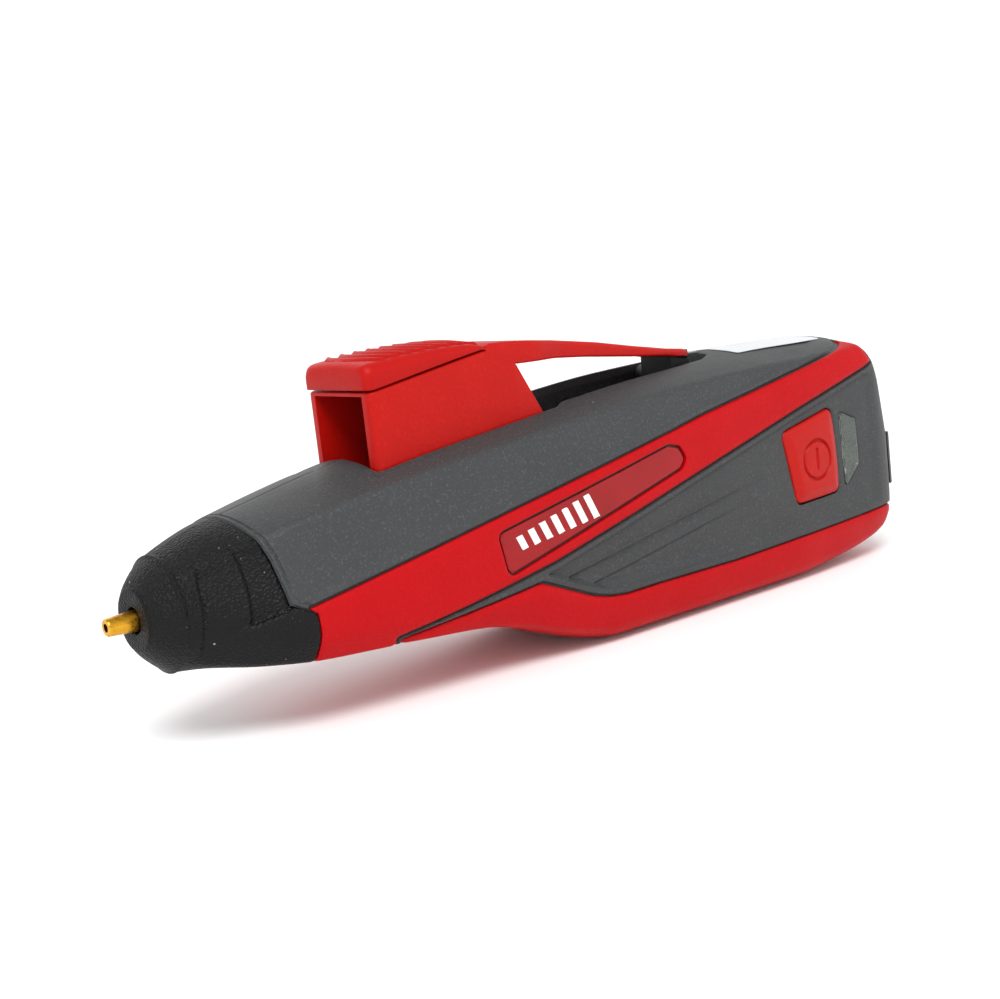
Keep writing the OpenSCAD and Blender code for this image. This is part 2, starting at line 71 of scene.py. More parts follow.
# x, ridge z, crease, shoulder, flank, lower flank and belly edge (y, z), belly z
RINGS = (
    (10.2, 11, (7.8, 7.8), (11, 0.6), (10.3, -3.9), (8.4, -7.1), (5, -9.8), -11),
    (15, 13.1, (9.2, 9.4), (12.4, 0.8), (11.8, -4.2), (9.8, -8), (5.8, -10.8), -11.7),
    (20, 14.6, (11, 10.7), (14, 0.8), (13.6, -4.8), (11.6, -8.8), (7.4, -11.5), -12.1),
    (24, 15.3, (12.8, 11.6), (16, 0.6), (15.8, -5.6), (13.8, -9.6), (9.4, -12), -12.3),
    (28, 16, (13.8, 12.4), (17.8, -0.2), (17.8, -6.5), (15.6, -10.6), (11, -12.3), -12.5),
    (33, 17, (14.6, 13.4), (18.6, -1.5), (18.7, -7.5), (16.8, -11.3), (12.4, -12.7), -12.8),
    (44, 19.2, (15.8, 15.2), (19.4, 0.4), (19.6, -8.2), (17.8, -12), (13.6, -13.3), -13.4),
    (58, 21.4, (16.9, 16.9), (20.2, 3.2), (20.5, -9), (18.8, -12.8), (14.2, -14.2), -14.3),
    (70, 22.8, (17.5, 18.3), (20.7, 5.4), (21, -9.6), (19.4, -13.6), (14.4, -15.4), -15.6),
    (79, 23.7, (17.8, 19.2), (21, 7.2), (21.3, -10.2), (19.9, -15.2), (14.4, -17.8), -18),
    (88, 24.6, (18.1, 20.1), (21.3, 9), (21.6, -11), (20.3, -17.4), (14.4, -21.2), -21.5),
    (97, 25.4, (18.4, 21), (21.5, 10.8), (21.8, -11.8), (20.6, -19), (14.4, -24.2), -24.5),
    (104, 26, (18.6, 21.7), (21.6, 12.2), (21.9, -12.4), (20.7, -19.8), (14.4, -25.5), -25.5),
    (130, 27.5, (18.9, 23.6), (21.6, 16.4), (21.9, -13.2), (20.7, -20), (14.4, -25.5), -25.5),
    (158, 27.7, (18.8, 24.3), (21.2, 20.2), (21.6, -13.6), (20.5, -19.9), (14.4, -25.5), -25.5),
    (176, 27.2, (18.4, 24.2), (20.8, 21.4), (20.9, -13.8), (19.8, -18.8), (13.6, -24.2), -24.4),
    (185, 26.9, (18, 24.3), (20.4, 21.2), (20.2, -13.9), (19.2, -18), (13, -22.8), -23),
    (190.5, 25.4, (17.4, 22.7), (19.4, 19.6), (19.3, -13.9), (18.4, -17.2), (12.4, -21), -21.2),
    (REAR_X, 22.2, (16.4, 19.6), (18, 17), (17.8, -13.6), (17, -16.2), (11.4, -18.6), -18.6),
)
# How far each corner of a half section is rounded, and the steps on each side between corners
CORNER_ROUND = (3, 3, 1.3, 4, 4, 3.5, 3.5, 3)
SIDE_STEPS = (2, 2, 3, 8, 22, 5, 2, 2, 9)
CORNER_STEPS = 4
# x and radius of the nose sleeve, from inside its mouth to the first ring
NOSE_PROFILE = (
    (10, 4), (7.7, 4), (7, 3.95), (6.95, 2.3), (5.8, 2.2), (5.4, 2.25), (5.2, 2.4), (5.1, 2.8),
    (5, 3.6), (5, 4.6), (5, 5.5), (5.08, 5.9), (5.35, 6.35), (5.9, 7.05), (6.6, 7.85), (7.4, 8.65),
    (8.2, 9.4), (9, 10.07), (9.6, 10.52), (9.9, 10.75), (10.02, 10.84), (10.1, 10.84),
)
# Rows at the front and rear that a search by x leaves out, and the column along the flank
FRONT_ROWS, REAR_ROWS, FLANK = 18, 12, 40

# Side views of the seams, x and z
NOSE_SEAM = ((24, 40), (24, 15.3), (25, 11.6), (26.2, 7.9), (26.8, 3.8), (27.4, -0.4), (30.5, -2),
             (32, -3.2), (32.2, -7), (32, -9.4), (31.6, -12.5), (31.6, -40))
NOSE = ((-10, 40),) + NOSE_SEAM + ((-10, -40),)
BAND = ((31, -1.8), (39, -0.3), (68, 5.2), (122, 15.2), (131, 17), (182, 25), (186, 25.6),
        (188.6, 20.3), (160, 13.6), (135, 7.4), (110, 1), (86, -4.9), (65, -8.8), (48.5, -11.6),
        (47, -40), (31, -40))
BAND_MIDDLE = ((31, -6), (68, -2), (110, 7), (150, 16), (195, 24))
GRIP = ((50, -12.6), (66, -10.6), (82, -8.6), (95, -14.2), (99, -15.3), (104, -15.9), (113, -15.8),
        (137, -16), (188, -14.6), (210, -14.4), (210, -40), (50, -40))
BADGE = ((73.2, 3), (119, 12.2), (122, 11.4), (123.4, 8.8), (122, 7.2), (74.6, -5.2))
BUTTON = ((154.5, 8.8), (171.7, 12.1), (172.5, -7.4), (157.8, -7.9))
WINDOW = ((174.6, 10.4), (180, 8.1), (180.4, -2.4), (174.9, -6.9))
SLOT_HALF = ((53.4, 11.3), (99, 11.3), (101, 9.8), (130, 9.4), (145, 7.6), (150, 4.6), (151.2, 0))
SLOT = SLOT_HALF + tuple((x, -y) for x, y in reversed(SLOT_HALF[:-1]))
SCREWS = ((44, 12.8), (92, -15), (120, 18.5), (178, 13.5), (180, -11))
SCREW_WELL = 2.7
BAR_GAP = 3.3
PLATE_GAP = 0.55


def half_section(ring):
    _, top, crease, shoulder, flank, lower, belly, bottom = ring
    crown = [(crease[0] * k, top - (top - crease[1]) * k * k) for k in (0.35, 0.7)]
    corner = (lower[0] * 0.62 + belly[0] * 0.46, lower[1] * 0.3 + belly[1] * 0.7)
    return np.array([(0, top), *crown, crease, shoulder, flank, lower, corner, belly, (0, bottom)])


def sampled_section(ring):
    """The half section as a fixed number of points, with its corners rounded."""
    points = half_section(ring)
    samples = [points[0]]
    start = points[0]
    for i, steps in enumerate(SIDE_STEPS):
        target = points[i + 1]
        last = i == len(SIDE_STEPS) - 1
        side = target - points[i]
        length = np.linalg.norm(side)
        reach = 0 if last else min(CORNER_ROUND[i], 0.46 * length)
        end = target - side / length * reach
        samples += [start + (end - start) * k / steps for k in range(1, steps + 1)]
        if not last:
            after = points[i + 2] - target
            step = np.linalg.norm(after)
            start = target + after / step * min(CORNER_ROUND[i], 0.46 * step)
            for k in range(1, CORNER_STEPS + 1):
                t = k / CORNER_STEPS
                samples.append((1 - t) ** 2 * end + 2 * t * (1 - t) * target + t * t * start)
    return np.array(samples)


def smooth_curve(x, y, q):
    """Monotone cubic interpolation of the rows of y, given at x, to the places q."""
    gap = np.diff(x)[:, None]
    slope = np.diff(y, axis=0) / gap
    tangent = np.zeros_like(y)
    tangent[0], tangent[-1] = slope[0], slope[-1]
    w1, w2 = 2 * gap[1:] + gap[:-1], gap[1:] + 2 * gap[:-1]
    same = slope[:-1] * slope[1:] > 0
    low = np.where(same, slope[:-1], 1)
    high = np.where(same, slope[1:], 1)
    tangent[1:-1] = np.where(same, (w1 + w2) / (w1 / low + w2 / high), 0)
    i = np.clip(np.searchsorted(x, q) - 1, 0, len(x) - 2)
    t = ((q - x[i]) / gap[i, 0])[:, None]
    a, b = 2 * t**3 - 3 * t**2 + 1, t**3 - 2 * t**2 + t
    c, d = 1 - a, t**3 - t**2
    return a * y[i] + b * gap[i] * tangent[i] + c * y[i + 1] + d * gap[i] * tangent[i + 1]


def leaning_row(x, section):
    """The points of a section at x, moved forward near the rear, the more the higher they are."""
    past = np.maximum(0, x - LEAN_FROM) / (REAR_X - LEAN_FROM)
    return np.column_stack([x - past * LEAN * np.maximum(0, section[:, 1] - 2), section])


def body_table():
    """Points of the right half of the body, rows along x and columns from the ridge to the belly."""
    sections = np.array([sampled_section(ring) for ring in RINGS])
    circle = sections[0] / np.linalg.norm(sections[0], axis=1)[:, None]
    sections[0] = circle * 11.0
    stations = np.array([ring[0] for ring in RINGS], float)
    places = np.concatenate([[10.2, 10.4, 10.7], np.arange(11.4, 36, 0.8), np.arange(36, 184, 1.6),
                             np.arange(184, 192.9, 0.8)])
    flat = sections.reshape(len(stations), -1)
    body = smooth_curve(stations, flat, places).reshape(len(places), -1, 2)
    rows = [np.column_stack([np.full(len(circle), x), circle * r]) for x, r in NOSE_PROFILE]
    rows += [leaning_row(x, s) for x, s in zip(places, body)]
    rear = sections[-1]
    before, corner, after = rows[-1], leaning_row(REAR_X, rear), leaning_row(REAR_X, rear * 0.945)
    for k in range(1, 6):
        t = k / 5
        rows.append((1 - t) ** 2 * before + 2 * t * (1 - t) * corner + t * t * after)
    rows += [leaning_row(REAR_X, rear * k) for k in (0.8, 0.68, 0.56, 0.44, 0.34, 0.27)]
    return np.array(rows)


class Sheet:
    """A smooth surface given by a table of points, addressed by row and column numbers."""

    def __init__(self, table, mirrored=True):
        self.table = table
        padded = np.pad(table, ((0, 0), (1, 1), (0, 0)), mode="edge")
        if mirrored:
            flip = np.array([1, -1, 1])
            padded[:, 0], padded[:, -1] = table[:, 1] * flip, table[:, -2] * flip
        along = np.gradient(padded, axis=0)[:, 1:-1]
        across = (padded[:, 2:] - padded[:, :-2]) / 2
        normal = np.cross(along, across)
        self.normals = normal / np.maximum(np.linalg.norm(normal, axis=2), 1e-9)[:, :, None]

    def look_up(self, grid, at):
        a = np.clip(at[:, 0], 0, grid.shape[0] - 1.000001)
        b = np.clip(at[:, 1], 0, grid.shape[1] - 1.000001)
        i, j = a.astype(int), b.astype(int)
        s, t = (a - i)[:, None], (b - j)[:, None]
        return ((1 - s) * ((1 - t) * grid[i, j] + t * grid[i, j + 1])
                + s * ((1 - t) * grid[i + 1, j] + t * grid[i + 1, j + 1]))

    def points(self, at):
        return self.look_up(self.table, at)

    def directions(self, at):
        n = self.look_up(self.normals, at)
        return n / np.maximum(np.linalg.norm(n, axis=1), 1e-9)[:, None]


class Patch:
    """Triangles on a sheet that can be cut along the level lines of a field."""

    def __init__(self, sheet):
        self.sheet = sheet
        rows, columns = sheet.table.shape[:2]
        a, b = np.meshgrid(np.arange(rows), np.arange(columns), indexing="ij")
        self.at = np.column_stack([a.ravel(), b.ravel()]).astype(float)
        corner = (a[:-1, :-1] * columns + b[:-1, :-1]).ravel()
        self.faces = np.concatenate([
            np.column_stack([corner, corner + columns + 1, corner + 1]),
            np.column_stack([corner, corner + columns, corner + columns + 1])])

    def points(self):
        return self.sheet.points(self.at)

    def centres(self):
        return self.sheet.points(self.at[self.faces].mean(axis=1))

    def split(self, edges, shares):
        """Puts a new point on each given edge and divides the triangles there."""
        first = len(self.at)
        ends = self.at[edges]
        self.at = np.concatenate([self.at, ends[:, 0] + (ends[:, 1] - ends[:, 0]) * shares[:, None]])
        middle = {(a, b): first + k for k, (a, b) in enumerate(edges.tolist())}
        touched = np.zeros(len(self.at), bool)
        touched[edges.ravel()] = True
        involved = touched[self.faces].sum(axis=1) >= 2
        made = []
        for a, b, c in self.faces[involved].tolist():
            corners = (a, b, c)
            mids = [middle.get((min(p, q), max(p, q)), -1) for p, q in ((a, b), (b, c), (c, a))]
            count = sum(m >= 0 for m in mids)
            if count == 0:
                made.append(corners)
                continue
            k = mids.index(-1) + 1 if count == 2 else next(i for i in range(3) if mids[i] >= 0)
            a, b, c = (corners[(k + i) % 3] for i in range(3))
            ab, bc, ca = (mids[(k + i) % 3] for i in range(3))
            if count == 1:
                made += [(a, ab, c), (ab, b, c)]
            elif count == 2:
                made += [(a, ab, c), (ab, b, bc), (ab, bc, c)]
            else:
                made += [(a, ab, ca), (ab, b, bc), (ca, bc, c), (ab, bc, ca)]
        self.faces = np.concatenate([self.faces[~involved], np.array(made, int).reshape(-1, 3)])

    def edges(self):
        pairs = np.sort(self.faces[:, [0, 1, 1, 2, 2, 0]].reshape(-1, 2), axis=1)
        keys = np.unique(pairs[:, 0] * len(self.at) + pairs[:, 1])
        return np.column_stack([keys // len(self.at), keys % len(self.at)])

    def cut(self, field, *levels, zone=None):
        for level in levels:
            points = self.points()
            value = field(points) - level
            value[np.abs(value) < 0.015] = 0
            edges = self.edges()
            a, b = value[edges[:, 0]], value[edges[:, 1]]
            chosen = a * b < 0
            if zone is not None:
                chosen &= zone(points[edges].mean(axis=1))
            if chosen.any():
                self.split(edges[chosen], (a / np.where(chosen, a - b, 1))[chosen])

    def refine(self, zone, longest, rounds=3):
        for _ in range(rounds):
            points = self.points()
            edges = self.edges()
            ends = points[edges]
            chosen = np.linalg.norm(ends[:, 0] - ends[:, 1], axis=1) > longest
            chosen &= zone(ends.mean(axis=1))
            if not chosen.any():
                break
            self.split(edges[chosen], np.full(chosen.sum(), 0.5))


def outline_field(outline, axes=(0, 2)):
    """Signed distance from an outline seen along y (or another axis), negative inside."""
    ring = np.array(outline, float)

    def field(points):
        p = points[:, axes]
        nearest = np.full(len(p), 1e9)
        inside = np.zeros(len(p), bool)
        for a, b in zip(ring, np.roll(ring, -1, axis=0)):
            edge, rel = b - a, p - a
            t = np.clip(rel @ edge / (edge @ edge), 0, 1)
            nearest = np.minimum(nearest, np.linalg.norm(rel - t[:, None] * edge, axis=1))
            crosses = (a[1] > p[:, 1]) != (b[1] > p[:, 1])
            span = np.where(crosses, b[1] - a[1], 1)
            inside ^= crosses & (p[:, 0] < a[0] + (p[:, 1] - a[1]) / span * (b[0] - a[0]))
        return np.where(inside, -nearest, nearest)

    return field


def shrunk(outline, margin):
    """An outline with its sides moved in by a margin, for rounding its corners."""
    ring = np.array(outline, float)
    area = np.sum(ring[:, 0] * np.roll(ring[:, 1], -1) - ring[:, 1] * np.roll(ring[:, 0], -1))
    turn = 1 if area > 0 else -1
    moved = []
    for i in range(len(ring)):
        before, here, after = ring[i - 1], ring[i], ring[(i + 1) % len(ring)]
        d1, d2 = here - before, after - here
        n1 = turn * np.array([-d1[1], d1[0]]) / np.linalg.norm(d1)
        n2 = turn * np.array([-d2[1], d2[0]]) / np.linalg.norm(d2)
        moved.append(here + margin * (n1 + n2) / (1 + n1 @ n2))
    return moved


def rounded_field(outline, radius, axes=(0, 2)):
    inner = outline_field(shrunk(outline, radius), axes)
    return lambda p: inner(p) - radius


def spot_field(spot, radius):
    return lambda p: np.hypot(p[:, 0] - spot[0], p[:, 2] - spot[1]) - radius


nose_field = outline_field(NOSE)
band_field = outline_field(BAND)
grip_field = outline_field(GRIP)
badge_field = rounded_field(BADGE, 1.2)
button_field = rounded_field(BUTTON, 1.7)
window_field = rounded_field(WINDOW, 0.5)


def mark_field(p):
    """Slim slanted bars of growing length near the front of the plate."""
    x, _, z = p.T
    run = x - 78 + 0.45 * (z - 1.3)
    rise = z - (0.4 + 0.2 * (x - 78))
    number = np.clip(np.round(run / BAR_GAP), 0, 6)
    across = np.abs(run - number * BAR_GAP) * 0.9 - 0.75
    along = np.abs(rise) - (1.5 + 0.2 * number)
    return np.maximum(across, along)


def beyond(axis, start, field):
    """The field where a coordinate is past start, and far away before that."""
    return lambda p: np.where(p[:, axis] > start, field(p), 50)


def socket_outline_field(p):
    dy = np.abs(np.abs(p[:, 1]) - 14.9) - 2.3
    dz = np.abs(p[:, 2] + 3.4) - 5.0
    return np.maximum(dy, dz)


slot_field = beyond(2, 8, outline_field(SLOT, axes=(0, 1)))
inlet_field = beyond(0, 188, lambda p: np.hypot(p[:, 1], p[:, 2]) - 5.85)
socket_field = beyond(0, 192.5, socket_outline_field)
label_field = beyond(2, 15, rounded_field(((155, -9), (183, -9), (183, 9), (155, 9)), 1, axes=(0, 1)))


def profile(outline, x):
    """Height of an open outline at x."""
    return np.interp(x, *np.array(outline, float).T)


def ramp(value, low, high):
    return np.clip((value - low) / (high - low), 0, 1)


def ease(value, low, high):
    t = ramp(value, low, high)
    return t * t * (3 - 2 * t)


def line_field(x0, z0, slope):
    """Height above a line in the side view."""
    return lambda p: p[:, 2] - (z0 + slope * (p[:, 0] - x0))


rib_field = line_field(88.5, -8.9, 0.164)
groove_field = line_field(95, -12.2, 0.171)
bevel_field = line_field(95, -12.3, 0)


def in_panel(p):
    x, _, z = p.T
    return (x > 86) & (x < 160) & (z < 16) & (z > -17)


def below_band(p):
    return p[:, 2] < profile(BAND_MIDDLE, p[:, 0])


def panel_depth(p):
    """Depth of the lower side panel, with its rib, groove and bevels that fade to the rear."""
    rib, groove, bevel = rib_field(p), groove_field(p), bevel_field(p)
    depth = 0.75 + 0.4 * (1 - ramp(rib, 0.3, 4.5))
    depth = depth + 0.45 * (ramp(-rib, 0, 0.7)) - 0.35 * np.maximum(0, 1 - np.abs(rib - 0.1) / 0.45)
    depth = depth - 0.3 * ramp(-rib, 0.7, 4) * (1 - ramp(-groove, 0, 0.5))
    depth = depth + 0.4 * np.maximum(0, 1 - np.abs(groove) / 0.45)
    depth = depth - 0.75 * ramp(-bevel, 0, 2.2) * ramp(-groove, 0, 0.5)
    fade = 1 - ease(p[:, 0], 124, 158)
    return 0.7 + (depth - 0.7) * fade


def shell_height(p, side):
    """Height of the grey shell, with a lip and a groove at each of its edges."""
    band, grip, nose = band_field(p), grip_field(p), nose_field(p)
    x = p[:, 0]
    lip = 0.16
    upper_base = 0.42 - 0.3 * ease(band, 2, 9)
    front_lip = 0.5 * (1 - ease(band, 1.8, 3.2 - 0.03 * x)) * (1 - ease(x, 38, 56))
    base = np.where(below_band(p), panel_depth(p), np.maximum(upper_base, front_lip))
    open_area = ramp(band, 1.5, 1.95) * ramp(grip, 1.7, 2.6) * ramp(nose, 1, 1.35)
    open_area *= ramp(x, 188, 185)
    depth = np.maximum.reduce([
        lip + (base - lip) * open_area,
        0.95 * (1 - ramp(band, 0.34, 0.62)),
        0.95 * (1 - ramp(grip, 0.34, 0.7)),
        0.5 * (1 - ramp(nose, 0.12, 0.35)),
        0.42 * (1 - ramp(np.abs(nose - 1.1), 0.1, 0.3)),
        0.3 * (1 - ramp(slot_field(p), 0.05, 0.6)),
        0.28 * (1 - ramp(np.abs(p[:, 1]), 0.05, 0.28)) * (x < 192)])
    if side < 0:
        frame_edge = np.maximum(0.5 * (1 - ramp(button_field(p) - 0.3, 0, 0.5)),
                                0.4 * (1 - ramp(window_field(p) - 0.15, 0, 0.35)))
        depth = np.where(x > 150, depth + frame_edge * 0.5, depth)
    return -np.where((band <= 0.01) | (grip <= 0.01), 1, depth)


def soft_edge(distance, depth, width):
    """Height of a rounded edge: 0 inside, falling to -depth at the boundary."""
    t = 1 - ramp(distance, 0, width)
    return -depth * (1 - np.sqrt(np.maximum(0, 1 - t * t * 0.96)))


def band_height(p):
    edge = soft_edge(-band_field(p), 0.62, 1.1)
    nose = soft_edge(nose_field(p) - 0.3, 0.5, 0.9)
    badge = -0.12 * (1 - ramp(badge_field(p) - PLATE_GAP, 0, 0.35))
    return np.minimum(np.minimum(edge, nose), badge)


def grip_height(p):
    return soft_edge(-grip_field(p), 0.75, 1.9)


def badge_height(p):
    return -0.3 + soft_edge(-badge_field(p), 0.22, 0.5)


def window_height(p):
    return -0.45 + soft_edge(-window_field(p), 0.35, 0.6)


def level(height):
    return lambda p: np.full(len(p), height)


def step_field(p):
    """Distance behind the edge of the nose's grained recess."""
    return p[:, 0] - (20.9 - 0.012 * (p[:, 2] - 3) ** 2)


def fold_field(p):
    """Height above the crease that runs forward from the seam's corner."""
    return p[:, 2] + 1.5 - 0.3 * (p[:, 0] - 27)


def ring_groove_field(p):
    return p[:, 0] - (13.4 + 0.1 * p[:, 2])


def nose_height(p):
    x, y, z = p.T
    above = ease(fold_field(p), -0.4, 0.6)
    edge = soft_edge(-nose_field(p), 0.4, 0.5)
    recess = -0.7 * ease(step_field(p), 0, 0.7) * above * (1 - ease(z, 9, 12))
    ring = ring_groove_field(p)
    groove = -0.32 * (1 - ease(np.abs(ring), 0, 0.5))
    groove = groove - 0.2 * ease(ring, -0.4, 0.4) * (1 - ease(ring, 0.4, 6))
    groove = groove * ease(z, -8, -6) * (1 - ease(z, 7, 10))
    bulge = 0.3 * (1 - above) * ease(x, 15, 22)
    parting = 0.2 * np.exp(-((x - 10.2) / 0.28) ** 2)
    face = -0.25 * np.exp(-((np.hypot(y, z) - 6.5) / 0.35) ** 2) * (x < 8)
    return edge + recess + groove + bulge + parting + face - 0.3


def thick(patch, chosen, height, depth, side):
    """A closed solid between the raised surface of the chosen triangles and its back."""
    faces = patch.faces[chosen]
    used, faces = np.unique(faces, return_inverse=True)
    faces = faces.reshape(-1, 3)
    at = patch.at[used]
    points, normals = patch.sheet.points(at), patch.sheet.directions(at)
    top = points + normals * height(points)[:, None]
    back = points - normals * depth
    for layer in (top, back):
        layer[np.abs(points[:, 1]) < 1e-6, 1] = 0
    pairs = faces[:, [0, 1, 1, 2, 2, 0]].reshape(-1, 2)
    ordered = np.sort(pairs, axis=1)
    keys = ordered[:, 0] * len(used) + ordered[:, 1]
    _, inverse, counts = np.unique(keys, return_inverse=True, return_counts=True)
    rim = pairs[counts[inverse.ravel()] == 1]
    n = len(used)
    walls = np.concatenate([np.column_stack([rim[:, 1], rim[:, 0], rim[:, 0] + n]),
                            np.column_stack([rim[:, 1], rim[:, 0] + n, rim[:, 1] + n])])
    all_faces = np.concatenate([faces, faces[:, ::-1] + n, walls])
    vertices = np.concatenate([top, back])
    if side < 0:
        vertices = vertices * np.array([1, -1, 1])
        all_faces = all_faces[:, ::-1]
    return vertices, all_faces


def joined(*solids):
    vertices, faces, start = [], [], 0
    for v, f in solids:
        vertices.append(v)
        faces.append(np.asarray(f) + start)
        start += len(v)
    return np.concatenate(vertices), np.concatenate(faces)


def placed(name, data):
    thing = bpy.data.objects.new(name, data)
    scene.collection.objects.link(thing)
    return thing


def mesh_piece(name, solid, look, sharp=38):
    """An object from a solid in millimetres. Its mesh sits in the row frame."""
    vertices, faces = solid
    mesh = bpy.data.meshes.new(name)
    faces = faces.tolist() if isinstance(faces, np.ndarray) else faces
    mesh.from_pydata(metres(vertices).tolist(), [], faces)
    mesh.validate()
    mesh.shade_smooth()
    mesh.set_sharp_from_angle(angle=math.radians(sharp))
    mesh.materials.append(LOOKS[look].material)
    return placed(name, mesh)


# Materials


def linear(*rgb):
    """A colour given as it looks on a screen, 0 to 255, as Blender's linear one."""
    parts = [c / 255 for c in rgb]
    return tuple(c / 12.92 if c <= 0.04 else ((c + 0.055) / 1.055) ** 2.4 for c in parts) + (1,)


def put(tree, socket, value):
    """Fills an input with a value or a link from another node's output."""
    if isinstance(value, bpy.types.NodeSocket):
        tree.links.new(value, socket)
    else:
        socket.default_value = value


def new_node(tree, kind, **values):
    """A node with its inputs filled. An underscore in a name stands for a space."""
    node = tree.nodes.new("ShaderNode" + kind)
    for name, value in values.items():
        put(tree, node.inputs[name.replace("_", " ")], value)
    return node


class Look:
    """A procedural material under construction."""

    def __init__(self, name, colour, roughness, **more):
        self.material = bpy.data.materials.new(name)
        self.material.use_nodes = True
        self.tree = self.material.node_tree
        self.base, self.bump = colour, None
        self.place = new_node(self.tree, "TexCoord").outputs["Object"]
        self.surface(Base_Color=colour, Roughness=roughness, **more)

    def surface(self, **values):
        for name, value in values.items():
            put(self.tree, self.tree.nodes["Principled BSDF"].inputs[name.replace("_", " ")], value)

    def noise(self, scale, detail=3, rough=0.55, stretch=None):
        place = self.place
        if stretch:
            place = new_node(self.tree, "Mapping", Vector=place, Scale=stretch).outputs["Vector"]
        node = new_node(self.tree, "TexNoise", Vector=place, Scale=scale, Detail=detail, Roughness=rough)
        return node.outputs["Fac"]

    def cells(self, scale, feature="F1"):
        node = new_node(self.tree, "TexVoronoi", Vector=self.place, Scale=scale)
        node.feature = feature
        return node.outputs["Distance"]

    def range(self, source, low, high, to_low=0, to_high=1):
        return new_node(self.tree, "MapRange", Value=source, From_Min=low, From_Max=high,
                        To_Min=to_low, To_Max=to_high).outputs["Result"]

    def times(self, a, b):
        node = new_node(self.tree, "Math")
        node.operation = "MULTIPLY"
        for socket, value in zip(node.inputs, (a, b)):
            put(self.tree, socket, value)
        return node.outputs["Value"]

    def tint(self, amount, colour):
        """Mixes a colour into the base colour where amount is high."""
        node = new_node(self.tree, "Mix")
        node.data_type = "RGBA"
        for name, value in (("Factor", amount), ("A", self.base), ("B", colour)):
            put(self.tree, node.inputs[name], value)
        self.base = node.outputs["Result"]
        self.surface(Base_Color=self.base)

    def blotch(self, source, low, high, amount, colour):
        """Tints by no more than amount, where a pattern is past low."""
        self.tint(self.range(source, low, high, 0, amount), colour)

    def raise_by(self, height, strength, distance):
        node = new_node(self.tree, "Bump", Height=height, Strength=strength, Distance=distance)
        if self.bump:
            put(self.tree, node.inputs["Normal"], self.bump)
        self.bump = node.outputs["Normal"]
        self.surface(Normal=self.bump)

    def roughness(self, source, low, high):
        self.surface(Roughness=self.range(source, 0.3, 0.7, low, high))


def shade(colour, factor):
    return tuple(min(1, c * factor) for c in colour[:3]) + (1,)


def moulded(name, rgb, roughness, grain, strength, sparkle, patchy, specular=0.5):
    """Textured moulded plastic: fine grain, faint cloudiness and worn edges."""
    colour = linear(*rgb)
    look = Look(name, colour, roughness, Specular_IOR_Level=specular)
    cloud, fine = look.noise(55, 4), look.noise(grain, 2, 0.6)
    look.blotch(cloud, 0.35, 0.7, patchy, shade(colour, 0.55))
    look.blotch(fine, 0.54, 0.74, sparkle, shade(colour, 2.1))
    edge = new_node(look.tree, "NewGeometry").outputs["Pointiness"]
    look.blotch(edge, 0.56, 0.66, 0.12, shade(colour, 1.6))
    look.roughness(cloud, roughness - 0.05, roughness + 0.08)
    look.raise_by(fine, strength, 0.00012)
    look.raise_by(look.noise(420, 2), strength * 0.35, 0.0003)
    return look


def specks(look, scale, size, colour, amount):
    dots = look.cells(scale)
    spread = look.noise(90, 2)
    on = look.times(look.range(dots, size, size * 0.6), look.range(spread, 0.5, 0.62))
    look.tint(look.times(on, amount), colour)


def metal(name, rgb, roughness, brush, stain=None):
    """Brushed metal, with brown stains where a stain's colour is given."""
    look = Look(name, linear(*rgb), roughness, Metallic=1)
    cloud = look.noise(240, 5, 0.65)
    if stain:
        look.blotch(cloud, 0.5, 0.66, 0.85, stain)
        look.blotch(look.noise(900, 3), 0.58, 0.7, 0.6, shade(stain, 0.5))
    look.roughness(cloud, roughness - 0.08, roughness + 0.14)
    look.raise_by(look.noise(900, 3, stretch=brush), 0.25, 0.00008)
    return look


def clear(name, rgb, roughness):
    """Clear plastic with a slightly uneven surface."""
    colour = linear(*rgb)
    look = Look(name, colour, roughness, Transmission_Weight=0.85, IOR=1.47)
    cloud = look.noise(300, 3)
    look.blotch(cloud, 0.4, 0.7, 0.3, shade(colour, 0.6))
    look.roughness(cloud, roughness, roughness + 0.12)
    look.raise_by(look.noise(500, 2), 0.2, 0.0002)
    return look


